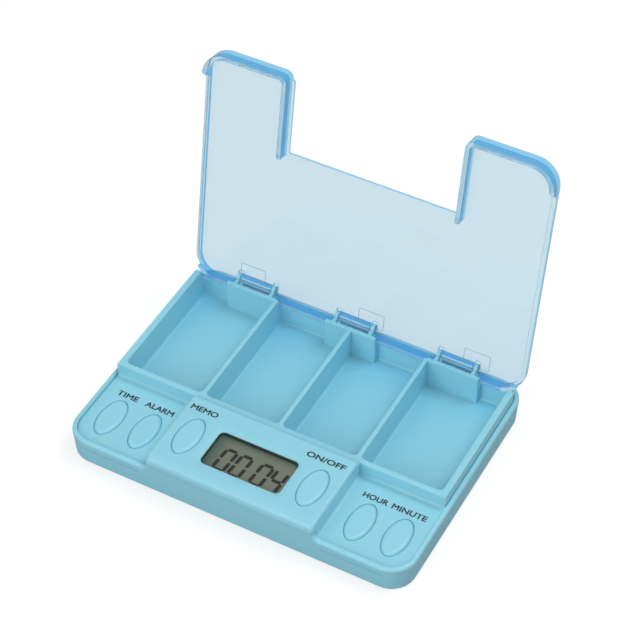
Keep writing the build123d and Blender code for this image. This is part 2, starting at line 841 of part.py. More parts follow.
with BuildPart() as chip_parts:
    for column in range(3):
        for row in range(2):
            x = chip_part_x + chip_part_pitch_x * column
            y = board_back - board_back_to_chip_part - chip_part_pitch_y * row
            with Locations((x, y, board_top + chip_part_height / 2)):
                Box(chip_part_length, chip_part_width, chip_part_height)
save(chip_parts, "chip_parts")

# Display: two films on the glass, the frame that hangs from the console and the rubber contact strip
for node, low, high, width in (
    ("display_polariser", glass_top, glass_top + film_thickness, glass_width - 2 * polariser_inset),
    ("display_glass", glass_bottom, glass_top, glass_width),
    ("display_reflector", display_bottom, glass_bottom, glass_width - 2 * reflector_inset),
):
    short_by = 0 if node == "display_glass" else contact_strip_room
    with BuildPart() as layer:
        box_between(
            (-width / 2, window_y - glass_depth / 2 + glass_front_gap, low),
            (width / 2, window_y + glass_depth / 2 - short_by, high),
        )
    save(layer, node)

holder_bottom = display_bottom - holder_lip
with BuildPart() as display_frame:
    half_width = glass_width / 2 + holder_gap
    half_depth = glass_depth / 2 + holder_gap
    box_between(
        (-half_width - holder_wall, window_y - half_depth - holder_wall, holder_bottom),
        (half_width + holder_wall, window_y + half_depth + holder_wall, console_underside - display_gap),
    )
    box_between(
        (-half_width, window_y - half_depth, display_bottom),
        (half_width, window_y + half_depth, far),
        Mode.SUBTRACT,
    )
    box_between(
        (-half_width + holder_shelf, window_y - half_depth + holder_shelf, 0),
        (half_width - holder_shelf, window_y + half_depth, far),
        Mode.SUBTRACT,
    )
    for x, y in ear_places:
        upright_rod((x, y), ear_top - ear_thickness, ear_top, ear_radius)
        frame_back = window_y + half_depth + holder_wall / 2
        ear_bottom = ear_top - ear_thickness
        box_between((x - ear_radius, frame_back, ear_bottom), (x + ear_radius, y, ear_top))
        hole_radius = small_screw_radius + screw_clearance
        upright_rod((x, y), ear_top - ear_thickness, ear_top, hole_radius, Mode.SUBTRACT)
save(display_frame, "display_frame")

with BuildPart() as contact_strip:
    box_between(
        (-strip_width / 2, strip_y - strip_thickness / 2, board_top),
        (strip_width / 2, strip_y + strip_thickness / 2, glass_bottom),
    )
save(contact_strip, "contact_strip")

# Battery cage over the door, two cells, their contacts and the door
cage_top = cell_top + contact_thickness + cage_roof
cell_places = [(-cell_spacing / 2, cell_y), (cell_spacing / 2, cell_y)]
with BuildPart() as cell_cage:
    box_between(
        (-cage_half_width, cell_y - cage_half_depth, cage_bottom),
        (cage_half_width, cell_y + cage_half_depth, cage_top),
    )
    for place in cell_places:
        upright_rod(place, cage_bottom, cage_top - cage_roof, cell_radius + cell_clearance, Mode.SUBTRACT)
        box_between(
            (place[0] - strap_width / 2 - strap_gap, cell_y, cell_top),
            (place[0] + strap_width / 2 + strap_gap, far, cell_top + contact_thickness),
            Mode.SUBTRACT,
        )
save(cell_cage, "cell_cage")

for node, place in (("cell_left", cell_places[0]), ("cell_right", cell_places[1])):
    with BuildPart() as cell:
        upright_rod(place, cell_bottom, cell_top - cell_step_height, cell_radius)
        upright_rod(place, cell_bottom, cell_top, cell_radius - cell_step_width)
        fillet(cell.edges().filter_by(GeomType.CIRCLE).sort_by(Axis.Z)[:1], cell_round)
    save(cell, node)

with BuildPart() as cell_contacts:
    for x, y in cell_places:
        box_between(
            (x - plate_size / 2, y - plate_size / 2, cell_top),
            (x + plate_size / 2, y + plate_size / 2, cell_top + contact_thickness),
        )
        strap_top = cell_top + contact_thickness
        box_between((x - strap_width / 2, y, cell_top), (x + strap_width / 2, strap_back, strap_top))
        box_between(
            (x - strap_width / 2, strap_back - contact_thickness, board_top),
            (x + strap_width / 2, strap_back, cell_top + contact_thickness),
        )
        box_between(
            (x - strap_width / 2, strap_back - contact_thickness, board_top),
            (x + strap_width / 2, foot_back, board_top + contact_thickness),
        )
save(cell_contacts, "cell_contacts")

with BuildPart() as door_contact:
    reach_x = cell_spacing / 2 + door_contact_reach
    box_between(
        (-reach_x, cell_y - door_contact_reach, door_thickness),
        (reach_x, cell_y + door_contact_reach, cell_bottom),
    )
save(door_contact, "door_contact")

with BuildPart() as battery_door:
    box_between(
        (-door_width / 2, cell_y - door_depth / 2, 0),
        (door_width / 2, cell_y + door_depth / 2, door_thickness),
    )
    fillet(battery_door.edges().filter_by(Axis.Z), door_corner)
    with Locations((0, cell_y + door_depth / 2 - door_edge_to_groove, 0)):
        Box(door_groove_length, door_groove_width, 2 * door_groove_depth, mode=Mode.SUBTRACT)
save(battery_door, "battery_door")

# Buzzer disc on its ring, with two springs up to the board
with BuildPart() as buzzer_disc_piece:
    upright_rod(buzzer_place, ring_top, ring_top + buzzer_disc, buzzer_radius)
save(buzzer_disc_piece, "buzzer_disc")

with BuildPart() as buzzer_springs:
    for step in (-1, 1):
        place = (buzzer_place[0] + spring_offset * step, buzzer_place[1])
        upright_rod(place, ring_top + buzzer_disc, board_underside, spring_radius)
save(buzzer_springs, "buzzer_springs")


def make_screws(node, places, seat, length, radius, head_radius, head_height):
    """Screws driven upwards: the head hangs below its seat and has a cross slot."""
    with BuildPart() as screws:
        for place in places:
            upright_rod(place, seat - head_height, seat, head_radius)
            upright_rod(place, seat, seat + length, radius)
            with Locations((place[0], place[1], seat - head_height)):
                Box(1.4 * head_radius, slot_width, 2 * slot_depth, mode=Mode.SUBTRACT)
                Box(slot_width, 1.4 * head_radius, 2 * slot_depth, mode=Mode.SUBTRACT)
    save(screws, node)


case_seat = screw_head_height + screw_head_sink
case_screw_length = case_boss_height - case_seat + case_screw_bite
board_screw_total = board_thickness + board_screw_length
frame_screw_total = console_underside - 0.3 - ear_top + ear_thickness
make_screws(
    "case_screws",
    case_screw_places,
    case_seat,
    case_screw_length,
    screw_radius,
    screw_head_radius,
    screw_head_height,
)
make_screws(
    "board_screws",
    board_screw_places,
    board_underside,
    board_screw_total,
    screw_radius,
    screw_head_radius,
    screw_head_height,
)
make_screws(
    "frame_screws",
    ear_places,
    ear_top - ear_thickness,
    frame_screw_total,
    small_screw_radius,
    small_head_radius,
    small_head_height,
)
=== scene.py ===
# %% [markdown]
# A pocket pill box with an alarm clock. The measured model comes in as a frame of separate parts. This
# file gives each part its finish, adds what is too thin for the measured model (the printed words, the
# display's digits, a dark ring of painted shade in the display's window, soft seals and mould lines) and
# lights the box on a white table. Blender counts in metres. A name that ends in _mm holds millimetres,
# which MM turns to metres.

# %% Load the measured parts
from math import cos, radians, sin

import bmesh
import bpy
from mathutils import Matrix, Vector


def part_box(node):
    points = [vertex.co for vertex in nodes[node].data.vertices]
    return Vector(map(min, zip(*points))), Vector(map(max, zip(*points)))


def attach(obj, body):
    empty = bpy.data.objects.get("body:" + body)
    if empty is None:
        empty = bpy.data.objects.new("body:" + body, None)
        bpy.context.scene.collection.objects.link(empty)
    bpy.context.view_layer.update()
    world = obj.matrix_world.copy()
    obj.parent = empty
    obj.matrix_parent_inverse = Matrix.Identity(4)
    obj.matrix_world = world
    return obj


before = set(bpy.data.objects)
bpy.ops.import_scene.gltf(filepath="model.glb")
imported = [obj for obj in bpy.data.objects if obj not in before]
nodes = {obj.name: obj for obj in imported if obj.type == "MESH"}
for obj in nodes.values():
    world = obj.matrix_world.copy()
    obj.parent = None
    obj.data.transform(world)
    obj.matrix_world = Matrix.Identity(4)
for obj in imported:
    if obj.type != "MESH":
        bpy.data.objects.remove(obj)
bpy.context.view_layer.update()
MM = 0.001
print("parts loaded:", len(nodes))

# %% [markdown]
# Colours are written as web colours, because those are easy to read off a sample card. Blender wants
# linear light values, so one function turns each of the three channels from sRGB to linear. A second
# one makes a colour a little darker or lighter, for grain and pigment that isn't quite even.


# %% Colours
def linear(web_colour):
    """A web colour such as #94D1E3 as linear red, green, blue and a full alpha."""
    channels = []
    # Two digits for each channel, after the hash sign
    for start in (1, 3, 5):
        value = int(web_colour[start : start + 2], 16) / 255
        channels.append(value / 12.92 if value <= 0.04045 else ((value + 0.055) / 1.055) ** 2.4)
    return (*channels, 1.0)


def shaded(colour, share):
    """A linear colour times a share, no brighter than white."""
    return tuple(min(1.0, channel * share) for channel in colour[:3]) + (1.0,)


case_blue = "#93D3E4"
key_blue = "#95D4E7"
white = linear("#FFFFFF")
print("the case's light blue as linear:", [round(value, 3) for value in linear(case_blue)])

# %% [markdown]
# A material is a small graph of nodes. One helper adds a node and sets its properties, and another fills
# a node's inputs with plain values or with the outputs of other nodes, so that each material below reads
# as a list of what it does.


# %% Build materials from nodes
def new_material(name):
    """An empty node material and its Principled shader."""
    material = bpy.data.materials.new(name)
    material.use_nodes = True
    return material, material.node_tree.nodes["Principled BSDF"]


def fill(material, node, inputs):
    """Gives a node's inputs their values, or joins them to the outputs of other nodes."""
    for key, value in inputs.items():
        if isinstance(value, bpy.types.NodeSocket):
            material.node_tree.links.new(value, node.inputs[key])
        else:
            node.inputs[key].default_value = value


def add_node(material, kind, settings=None, inputs=None):
    """Adds a node to a material or to the room, sets its properties and fills its inputs."""
    node = material.node_tree.nodes.new(kind)
    for key, value in (settings or {}).items():
        setattr(node, key, value)
    fill(material, node, inputs or {})
    return node


def per_metre(size_mm):
    """The scale of a pattern whose grains are this many millimetres across."""
    return 1 / (size_mm * MM)


print("a grain of half a millimetre has the scale", per_metre(0.5))

# %% [markdown]
# The case, the housing and the keys are ABS, an opaque plastic moulded in a polished steel tool. It is
# glossy, but never flat: it keeps a fine orange peel, slow waves where thick ribs shrank behind a wall,
# and soft edges, because molten plastic doesn't fill a sharp corner. A flat colour would look like card,
# so the peel and the waves are bumps, and a Bevel node rounds every edge in the shading.

# %% Moulded ABS
peel_grain_mm = 0.6
peel_depth_mm = 0.02
sink_wave_mm = 14
sink_depth_mm = 0.06
pigment_patch_mm = 22
pigment_lightening = 1.05
# How far the roughness goes below and above its plain value
clean_skin = -0.02
smeared_skin = 0.06
glow_depth_mm = 1.2


def moulded_plastic(name, web_colour, roughness=0.32, edge_mm=0.25):
    """Glossy injection-moulded plastic with orange peel, sink waves and soft edges."""
    material, shader = new_material(name)
    place = add_node(material, "ShaderNodeTexCoord").outputs["Object"]
    peel = add_node(
        material,
        "ShaderNodeTexNoise",
        inputs={"Vector": place, "Scale": per_metre(peel_grain_mm), "Detail": 3.0},
    )
    waves = add_node(
        material,
        "ShaderNodeTexNoise",
        inputs={"Vector": place, "Scale": per_metre(sink_wave_mm), "Detail": 1.0},
    )
    patches = add_node(
        material,
        "ShaderNodeTexNoise",
        inputs={"Vector": place, "Scale": per_metre(pigment_patch_mm), "Detail": 2.0},
    )
    soft_edges = add_node(material, "ShaderNodeBevel", {"samples": 6}, {"Radius": edge_mm * MM})
    sinks = add_node(
        material,
        "ShaderNodeBump",
        inputs={
            "Strength": 0.35,
            "Distance": sink_depth_mm * MM,
            "Height": waves.outputs["Fac"],
            "Normal": soft_edges.outputs["Normal"],
        },
    )
    skin = add_node(
        material,
        "ShaderNodeBump",
        inputs={
            "Strength": 0.10,
            "Distance": peel_depth_mm * MM,
            "Height": peel.outputs["Fac"],
            "Normal": sinks.outputs["Normal"],
        },
    )
    # Pigment isn't perfectly even: patches about two centimetres wide are a little lighter
    colour = linear(web_colour)
    tint = add_node(
        material,
        "ShaderNodeMix",
        {"data_type": "RGBA"},
        {"Factor": patches.outputs["Fac"], "A": colour, "B": shaded(colour, pigment_lightening)},
    )
    # Handling dulls the gloss in faint smears
    smears = add_node(
        material,
        "ShaderNodeMapRange",
        inputs={
            "Value": waves.outputs["Fac"],
            "To Min": roughness + clean_skin,
            "To Max": roughness + smeared_skin,
        },
    )
    # A pale pigment lets a little light spread under the skin, which softens shadows and thin walls
    look = {
        "Base Color": tint.outputs["Result"],
        "Roughness": smears.outputs["Result"],
        "Normal": skin.outputs["Normal"],
        "IOR": 1.46,
        "Subsurface Weight": 0.25,
        "Subsurface Radius": (0.6, 1.0, 1.2),
        "Subsurface Scale": glow_depth_mm * MM,
    }
    fill(material, shader, look)
    return material


case_plastic = moulded_plastic("abs_light_blue", case_blue)
key_plastic = moulded_plastic("abs_light_blue_keys", key_blue, edge_mm=0.15)
white_plastic = moulded_plastic("abs_white", "#D9D9D4", roughness=0.4)
print("ABS finishes:", case_plastic.name, key_plastic.name, white_plastic.name)

# %% [markdown]
# The lid is polystyrene, clear with a little blue dye. A glance through the 1.2 mm plate stays pale, but
# a look along a wall goes through many millimetres and comes out blue. Real polystyrene bends light
# strongly, and its edges fill with light from all round. A renderer follows only a few bends before it
# gives up and paints black, so here the bending is kept low and a clear coat carries the shine. The
# walls' deeper blue is given by how far a face turns from the plate. The lid is measured open, so the
# plate's direction is turned from level by the angle that it opens.

# %% The lid's tint
lid_open_degrees = 100.3
# One is a face that lies with the plate, zero a face square to it
plate_flatness = 0.95
wall_flatness = 0.5
plate_tint = "#DCE9EF"
wall_tint = "#7AC6EE"
plate_clearness = 0.87
wall_clearness = 0.72
lid_plastic, lid_shader = new_material("polystyrene_clear_blue")
lid_coordinates = add_node(lid_plastic, "ShaderNodeTexCoord")
plate_direction = (0.0, sin(radians(lid_open_degrees)), cos(radians(lid_open_degrees)))
facing = add_node(
    lid_plastic,
    "ShaderNodeVectorMath",
    {"operation": "DOT_PRODUCT"},
    {0: lid_coordinates.outputs["Normal"], 1: plate_direction},
)
flatness = add_node(
    lid_plastic, "ShaderNodeMath", {"operation": "ABSOLUTE"}, {0: facing.outputs["Value"]}
)
edge_glow = add_node(
    lid_plastic,
    "ShaderNodeMapRange",
    {"interpolation_type": "SMOOTHSTEP"},
    {"Value": flatness.outputs[0], "From Min": plate_flatness, "From Max": wall_flatness},
)
lid_tint = add_node(
    lid_plastic,
    "ShaderNodeMix",
    {"data_type": "RGBA"},
    {"Factor": edge_glow.outputs["Result"], "A": linear(plate_tint), "B": linear(wall_tint)},
)
clearness = add_node(
    lid_plastic,
    "ShaderNodeMapRange",
    inputs={"Value": edge_glow.outputs["Result"], "To Min": plate_clearness, "To Max": wall_clearness},
)
print("the plate faces", [round(part, 3) for part in plate_direction])

# %% [markdown]
# A moulded plate is never optically flat. The melt leaves broad, shallow waves, so one slow noise bends
# the surface a little and also changes how sharply it mirrors.

# %% The lid's surface
flow_wave_mm = 18
flow_depth_mm = 0.05
flow = add_node(
    lid_plastic,
    "ShaderNodeTexNoise",
    inputs={"Vector": lid_coordinates.outputs["Object"], "Scale": per_metre(flow_wave_mm), "Detail": 1.0},
)
flow_bump = add_node(
    lid_plastic,
    "ShaderNodeBump",
    inputs={"Strength": 0.2, "Distance": flow_depth_mm * MM, "Height": flow.outputs["Fac"]},
)
lid_gloss = add_node(
    lid_plastic,
    "ShaderNodeMapRange",
    inputs={"Value": flow.outputs["Fac"], "To Min": 0.02, "To Max": 0.07},
)
lid_look = {
    "Base Color": lid_tint.outputs["Result"],
    "Transmission Weight": clearness.outputs["Result"],
    "Roughness": lid_gloss.outputs["Result"],
    "Normal": flow_bump.outputs[0],
    "IOR": 1.15,
    "Coat Weight": 0.5,
    "Coat IOR": 1.5,
    "Coat Roughness": 0.04,
}
fill(lid_plastic, lid_shader, lid_look)
print("waves in the lid, mm:", flow_wave_mm)

# %% [markdown]
# Light loses red on its way through the dye, and a Volume Absorption node does that by length. A lamp's
# light really does go through the lid, but a solid glass shader stops shadow rays, so those meet a
# transparent shader with a pale tint instead.

# %% Dye and shadow of the lid
dye_blue = "#7CDDF3"
dye_density = 80.0
shadow_tint = "#D6EBF4"
dye = add_node(
    lid_plastic,
    "ShaderNodeVolumeAbsorption",
    inputs={"Color": linear(dye_blue), "Density": dye_density},
)
passing = add_node(lid_plastic, "ShaderNodeBsdfTransparent", inputs={"Color": linear(shadow_tint)})
lid_rays = add_node(lid_plastic, "ShaderNodeLightPath")
lid_mix = add_node(
    lid_plastic,
    "ShaderNodeMixShader",
    inputs={0: lid_rays.outputs["Is Shadow Ray"], 1: lid_shader.outputs[0], 2: passing.outputs[0]},
)
lid_output = lid_plastic.node_tree.nodes["Material Output"]
fill(lid_plastic, lid_output, {"Surface": lid_mix.outputs[0], "Volume": dye.outputs[0]})
print("lid finish:", lid_plastic.name)

# %% [markdown]
# The small solids are silicone pads, a lacquered board, a drop of resin, ceramic chip parts, films, foam
# and printing ink. Each is matte or satin with an even grain, so one helper serves them all: a noise
# makes the colour a little uneven and roughens the surface. The real grains are mostly finer than this,
# and are drawn as coarse as they need to be to show.

# %% Fine-grained solids
grain_darkening = 0.85


def grained_solid(name, web_colour, roughness, grain_mm, ior=1.5, depth_mm=0.02):
    """A matte or satin solid with an even fine grain in its surface and its colour."""
    material, shader = new_material(name)
    place = add_node(material, "ShaderNodeTexCoord").outputs["Object"]
    grain = add_node(
        material,
        "ShaderNodeTexNoise",
        inputs={"Vector": place, "Scale": per_metre(grain_mm), "Detail": 4.0},
    )
    colour = linear(web_colour)
    tint = add_node(
        material,
        "ShaderNodeMix",
        {"data_type": "RGBA"},
        {"Factor": grain.outputs["Fac"], "A": colour, "B": shaded(colour, grain_darkening)},
    )
    bump = add_node(
        material,
        "ShaderNodeBump",
        inputs={"Strength": 0.3, "Distance": depth_mm * MM, "Height": grain.outputs["Fac"]},
    )
    look = {
        "Base Color": tint.outputs["Result"],
        "Normal": bump.outputs[0],
        "Roughness": roughness,
        "IOR": ior,
    }
    fill(material, shader, look)
    return material


# Moulded silicone rubber: dull, with no sharp highlight
pad_silicone = grained_solid("silicone_grey", "#BDBFBF", roughness=0.6, grain_mm=0.5, ior=1.41)
strip_silicone = grained_solid("silicone_pink", "#D9A0AA", roughness=0.6, grain_mm=0.4, ior=1.41)
# Glass cloth under a sprayed green lacquer: satin, with the cloth's unevenness
board_lacquer = grained_solid("laminate_green_lacquer", "#1F5A2C", roughness=0.35, grain_mm=0.8)
# A cast drop of black resin over the chip: nearly glossy
resin_drop = grained_solid("epoxy_black", "#141414", roughness=0.25, grain_mm=0.6)
# Fired and dipped small parts: matte and dark
ceramic_parts = grained_solid("ceramic_dark", "#3A3836", roughness=0.5, grain_mm=0.3)
print("fine-grained finishes:", pad_silicone.name, board_lacquer.name, resin_drop.name, ceramic_parts.name)

# %% [markdown]
# Screws, cells, contacts and the buzzer's disc are metal: plated steel, tinned bronze and sheet brass.
# Drawing and rolling leave fine scratches in one direction. A noise that is stretched along X gives
# them, and it changes both the gloss and the surface.

# %% Drawn and rolled metals
scratch_width_mm = 0.15
scratch_stretch = 20
scratch_depth_mm = 0.01
# How far the roughness goes below and above its plain value
polished = -0.08
scratched = 0.12


def drawn_metal(name, web_colour, roughness):
    """Plated or rolled metal with fine scratches along X."""
    material, shader = new_material(name)
    place = add_node(material, "ShaderNodeTexCoord").outputs["Object"]
    stretched = add_node(
        material,
        "ShaderNodeMapping",
        inputs={"Vector": place, "Scale": (1 / scratch_stretch, 1.0, 1.0)},
    )
    scratches = add_node(
        material,
        "ShaderNodeTexNoise",
        inputs={"Vector": stretched.outputs[0], "Scale": per_metre(scratch_width_mm), "Detail": 3.0},
    )
    gloss = add_node(
        material,
        "ShaderNodeMapRange",
        inputs={
            "Value": scratches.outputs["Fac"],
            "To Min": roughness + polished,
            "To Max": roughness + scratched,
        },
    )
    bump = add_node(
        material,
        "ShaderNodeBump",
        inputs={"Strength": 0.15, "Distance": scratch_depth_mm * MM, "Height": scratches.outputs["Fac"]},
    )
    look = {
        "Base Color": linear(web_colour),
        "Metallic": 1.0,
        "Roughness": gloss.outputs["Result"],
        "Normal": bump.outputs[0],
    }
    fill(material, shader, look)
    return material


plated_steel = drawn_metal("steel_plated", "#B7B8BA", roughness=0.32)
cell_can = drawn_metal("steel_cell_can", "#CDCDCB", roughness=0.2)
contact_metal = drawn_metal("bronze_tinned", "#CFC9B8", roughness=0.3)
brass_disc = drawn_metal("brass_sheet", "#D2B46A", roughness=0.3)
print("metals:", plated_steel.name, cell_can.name, contact_metal.name, brass_disc.name)

# %% [markdown]
# Under its front film the display is a grey-green mirror film behind liquid crystal. Seen from outside
# it is one smooth grey-olive surface with a dull antiglare sheen, darker and greener towards the rear and
# the left, where the window's walls keep the light off. So the front film carries that colour, and two
# soft ramps over its place, one along X and one along Y, give the shade.

# %% The display's front film
film_speckle_mm = 0.25
left_shade_from_mm = -13.8
left_shade_to_mm = -7.5
rear_shade_from_mm = -21.2
rear_shade_to_mm = -24.6
film_shade = "#455D55"
film_dark = "#6B7264"
film_pale = "#757B6C"
display_film, film_shader = new_material("display_front_film")
film_place = add_node(display_film, "ShaderNodeTexCoord").outputs["Object"]
speckle = add_node(
    display_film,
    "ShaderNodeTexNoise",
    inputs={"Vector": film_place, "Scale": per_metre(film_speckle_mm), "Detail": 2.0},
)
film_tint = add_node(
    display_film,
    "ShaderNodeMix",
    {"data_type": "RGBA"},
    {"Factor": speckle.outputs["Fac"], "A": linear(film_dark), "B": linear(film_pale)},
)
film_parts = add_node(display_film, "ShaderNodeSeparateXYZ", inputs={0: film_place})
from_left = add_node(
    display_film,
    "ShaderNodeMapRange",
    {"interpolation_type": "SMOOTHSTEP"},
    {
        "Value": film_parts.outputs["X"],
        "From Min": left_shade_from_mm * MM,
        "From Max": left_shade_to_mm * MM,
    },
)
from_rear = add_node(
    display_film,
    "ShaderNodeMapRange",
    {"interpolation_type": "SMOOTHSTEP"},
    {
        "Value": film_parts.outputs["Y"],
        "From Min": rear_shade_from_mm * MM,
        "From Max": rear_shade_to_mm * MM,
    },
)
in_light = add_node(
    display_film,
    "ShaderNodeMath",
    {"operation": "MULTIPLY"},
    {0: from_left.outputs["Result"], 1: from_rear.outputs["Result"]},
)
film_colour = add_node(
    display_film,
    "ShaderNodeMix",
    {"data_type": "RGBA"},
    {"Factor": in_light.outputs[0], "A": linear(film_shade), "B": film_tint.outputs["Result"]},
)
fill(display_film, film_shader, {"Base Color": film_colour.outputs["Result"], "Roughness": 0.42})
print("the film's left shade ends at", left_shade_to_mm, "mm")

# %% [markdown]
# The glass and the back film lie hidden below the front film. They are plain: a clear, faintly green
# sheet of glass whose gloss changes slowly, and a satin reflector.

# %% The display's glass and back film
glass_wave_mm = 6
display_back = grained_solid("display_back_film", "#8C8F80", roughness=0.45, grain_mm=0.4)
display_glass, glass_shader = new_material("display_glass")
glass_place = add_node(display_glass, "ShaderNodeTexCoord").outputs["Object"]
glass_noise = add_node(
    display_glass,
    "ShaderNodeTexNoise",
    inputs={"Vector": glass_place, "Scale": per_metre(glass_wave_mm)},
)
glass_gloss = add_node(
    display_glass,
    "ShaderNodeMapRange",
    inputs={"Value": glass_noise.outputs["Fac"], "To Min": 0.02, "To Max": 0.08},
)
glass_look = {
    "Base Color": linear("#C9D0BE"),
    "Transmission Weight": 0.9,
    "Roughness": glass_gloss.outputs["Result"],
}
fill(display_glass, glass_shader, glass_look)
print("display finishes:", display_film.name, display_glass.name, display_back.name)

# %% [markdown]
# Every measured part now takes its finish. The parts keep their shape and place, and only the material
# in their slot changes.

# %% Give each part its finish
finishes = {
    "bottom_case": case_plastic,
    "top_housing": case_plastic,
    "battery_door": case_plastic,
    "lid": lid_plastic,
    # In the lid's clear plastic the pins would show dark through the hinge barrels, so they take the
    # case's plastic
    "hinge_pins": case_plastic,
    "keypad_left": pad_silicone,
    "keypad_right": pad_silicone,
    "contact_strip": strip_silicone,
    "circuit_board": board_lacquer,
    "chip_blob": resin_drop,
    "chip_parts": ceramic_parts,
    "crystal": plated_steel,
    "display_polariser": display_film,
    "display_glass": display_glass,
    "display_reflector": display_back,
    "display_frame": white_plastic,
    "cell_cage": white_plastic,
    "cell_left": cell_can,
    "cell_right": cell_can,
    "cell_contacts": contact_metal,
    "door_contact": contact_metal,
    "buzzer_springs": contact_metal,
    "buzzer_disc": brass_disc,
    "board_screws": plated_steel,
    "frame_screws": plated_steel,
    "case_screws": plated_steel,
}
for key_name in ("time", "alarm", "memo", "on_off", "hour", "minute"):
    finishes["button_" + key_name] = key_plastic
for name, node in nodes.items():
    node.data.materials.clear()
    node.data.materials.append(finishes[name])
print("parts with a finish:", len(finishes))

# %% [markdown]
# What this file adds is thin: ink, films, rings and lines. Each starts as flat faces in a bmesh, in
# millimetres, and is drawn up to its thickness. One helper does that, and another moves the shape to its
# place, scales it to metres and lets it ride on the case or on the lid.


# %% Draw up a flat shape and place it
def draw_up(flat, height):
    """Gives flat faces a thickness along Z and turns every face outwards."""
    drawn = bmesh.ops.extrude_face_region(flat, geom=flat.faces[:])
    top_points = [item for item in drawn["geom"] if isinstance(item, bmesh.types.BMVert)]
    bmesh.ops.translate(flat, vec=(0, 0, height), verts=top_points)
    bmesh.ops.recalc_face_normals(flat, faces=flat.faces)


def add_piece(name, shape, place, material, body):
    """Places a bmesh by a matrix in millimetres and links it as a piece that rides on a body."""
    bmesh.ops.transform(shape, matrix=Matrix.Scale(MM, 4) @ place, verts=shape.verts)
    mesh = bpy.data.meshes.new(name)
    shape.to_mesh(mesh)
    shape.free()
    mesh.materials.append(material)
    piece = bpy.data.objects.new(name, mesh)
    bpy.context.scene.collection.objects.link(piece)
    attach(piece, body)
    print(name, "added with", len(mesh.polygons), "faces")


# %% [markdown]
# The words beside the keys are pad-printed: a thin film of dark ink pressed on the finished moulding. A
# text object gives the letters. It is made a mesh, the points of its outlines are pushed outwards until
# the strokes have the printed weight, and the flat letters are drawn up to the thickness of the ink. The
# words lie a hair above the plastic.

# %% Make the strokes of the letters heavier
stroke_growth = 0.022
sharpest_corner = 0.5


def embolden(letters):
    """Moves each point of the letters' outlines outwards, so that the strokes print heavier."""
    moves = []
    for point in letters.verts:
        outward = Vector((0.0, 0.0, 0.0))
        for edge in point.link_edges:
            if edge.is_boundary:
                along = (edge.verts[1].co - edge.verts[0].co).normalized()
                across = along.cross(Vector((0.0, 0.0, 1.0)))
                middle = (edge.verts[0].co + edge.verts[1].co) / 2
                inside = edge.link_faces[0].calc_center_median() - middle
                outward += across if across.dot(inside) < 0 else -across
        # A needle-sharp corner has hardly any outward sum, and would shoot far out
        if outward.length > sharpest_corner:
            moves.append((point, outward * 2 * stroke_growth / outward.length_squared))
    for point, move in moves:
        point.co += move


# %% Print one word
ink = grained_solid("pad_print_ink", "#1E2A30", roughness=0.55, grain_mm=0.12, depth_mm=0.005)
capital_height_mm = 1.9
ink_lift_mm = 0.015
ink_film_mm = 0.02
# A capital letter is about this share of its font's size high
capital_share = 0.7
# Points of an outline this near each other, in letters a metre high, are one point
same_point = 0.0005


def print_word(word, middle_x_mm, width_mm, baseline_y_mm, surface_z_mm):
    """A printed word with its letters along X, on a level surface."""
    curve = bpy.data.curves.new("word", "FONT")
    curve.body = word
    curve.align_x = "CENTER"
    curve.resolution_u = 6
    text = bpy.data.objects.new("word", curve)
    bpy.context.scene.collection.objects.link(text)
    bpy.context.view_layer.update()
    outlines = bpy.data.meshes.new_from_object(text)
    stretch = width_mm / text.dimensions.x
    bpy.data.objects.remove(text)
    # The letters are made a metre high, so that their outlines fill cleanly, and only then scaled down
    letter_size = capital_height_mm / capital_share
    letters = bmesh.new()
    letters.from_mesh(outlines)
    bmesh.ops.remove_doubles(letters, verts=letters.verts, dist=same_point)
    embolden(letters)
    draw_up(letters, ink_film_mm / letter_size)
    place = Matrix.Translation((middle_x_mm, baseline_y_mm, surface_z_mm + ink_lift_mm))
    size = Matrix.Diagonal((stretch, letter_size, letter_size, 1.0))
    add_piece("legend_" + word.lower().replace("/", "_"), letters, place @ size, ink, "base")


# %% The six words
key_rise_mm = 0.4
low_panel_z_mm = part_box("button_time")[1][2] / MM - key_rise_mm
console_z_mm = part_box("button_memo")[1][2] / MM - key_rise_mm
low_baseline_mm = -19.5
console_baseline_mm = -18.4
# Each word has the place of its middle along X and its width
low_words_mm = {"TIME": (-48.2, 7.1), "ALARM": (-36.9, 9.6), "HOUR": (36.3, 7.9), "MINUTE": (47.3, 11.0)}
console_words_mm = {"MEMO": (-21.5, 8.9), "ON/OFF": (19.5, 12.5)}
for word, (middle_x_mm, width_mm) in low_words_mm.items():
    print_word(word, middle_x_mm, width_mm, low_baseline_mm, low_panel_z_mm)
for word, (middle_x_mm, width_mm) in console_words_mm.items():
    print_word(word, middle_x_mm, width_mm, console_baseline_mm, console_z_mm)

# %% [markdown]
# Three kinds of piece are thin upright rings: the dark ring of painted shade in the display's window,
# the seal round each key, and the mould lines on the lid. Each starts as one flat face, a rounded
# rectangle or an ellipse. The face is inset, its middle is taken away, and the band that is left is drawn
# up. That gives an even wall, which one ellipse inside another wouldn't.

# %% Rings
smooth_steps = 96


def rounded_face(size_mm, corner_mm):
    """A bmesh with one flat face: a rectangle with round corners."""
    flat = bmesh.new()
    made = bmesh.ops.create_grid(flat, x_segments=1, y_segments=1, size=0.5)
    bmesh.ops.scale(flat, vec=(*size_mm, 1.0), verts=flat.verts)
    bmesh.ops.bevel(
        flat, geom=made["verts"], offset=corner_mm, affect="VERTICES", segments=6, profile=0.5, material=-1
    )
    return flat


def oval_face(half_width_mm, half_length_mm):
    """A bmesh with one flat face: an ellipse."""
    flat = bmesh.new()
    bmesh.ops.create_circle(flat, cap_ends=True, segments=smooth_steps, radius=1.0)
    bmesh.ops.scale(flat, vec=(half_width_mm, half_length_mm, 1.0), verts=flat.verts)
    return flat


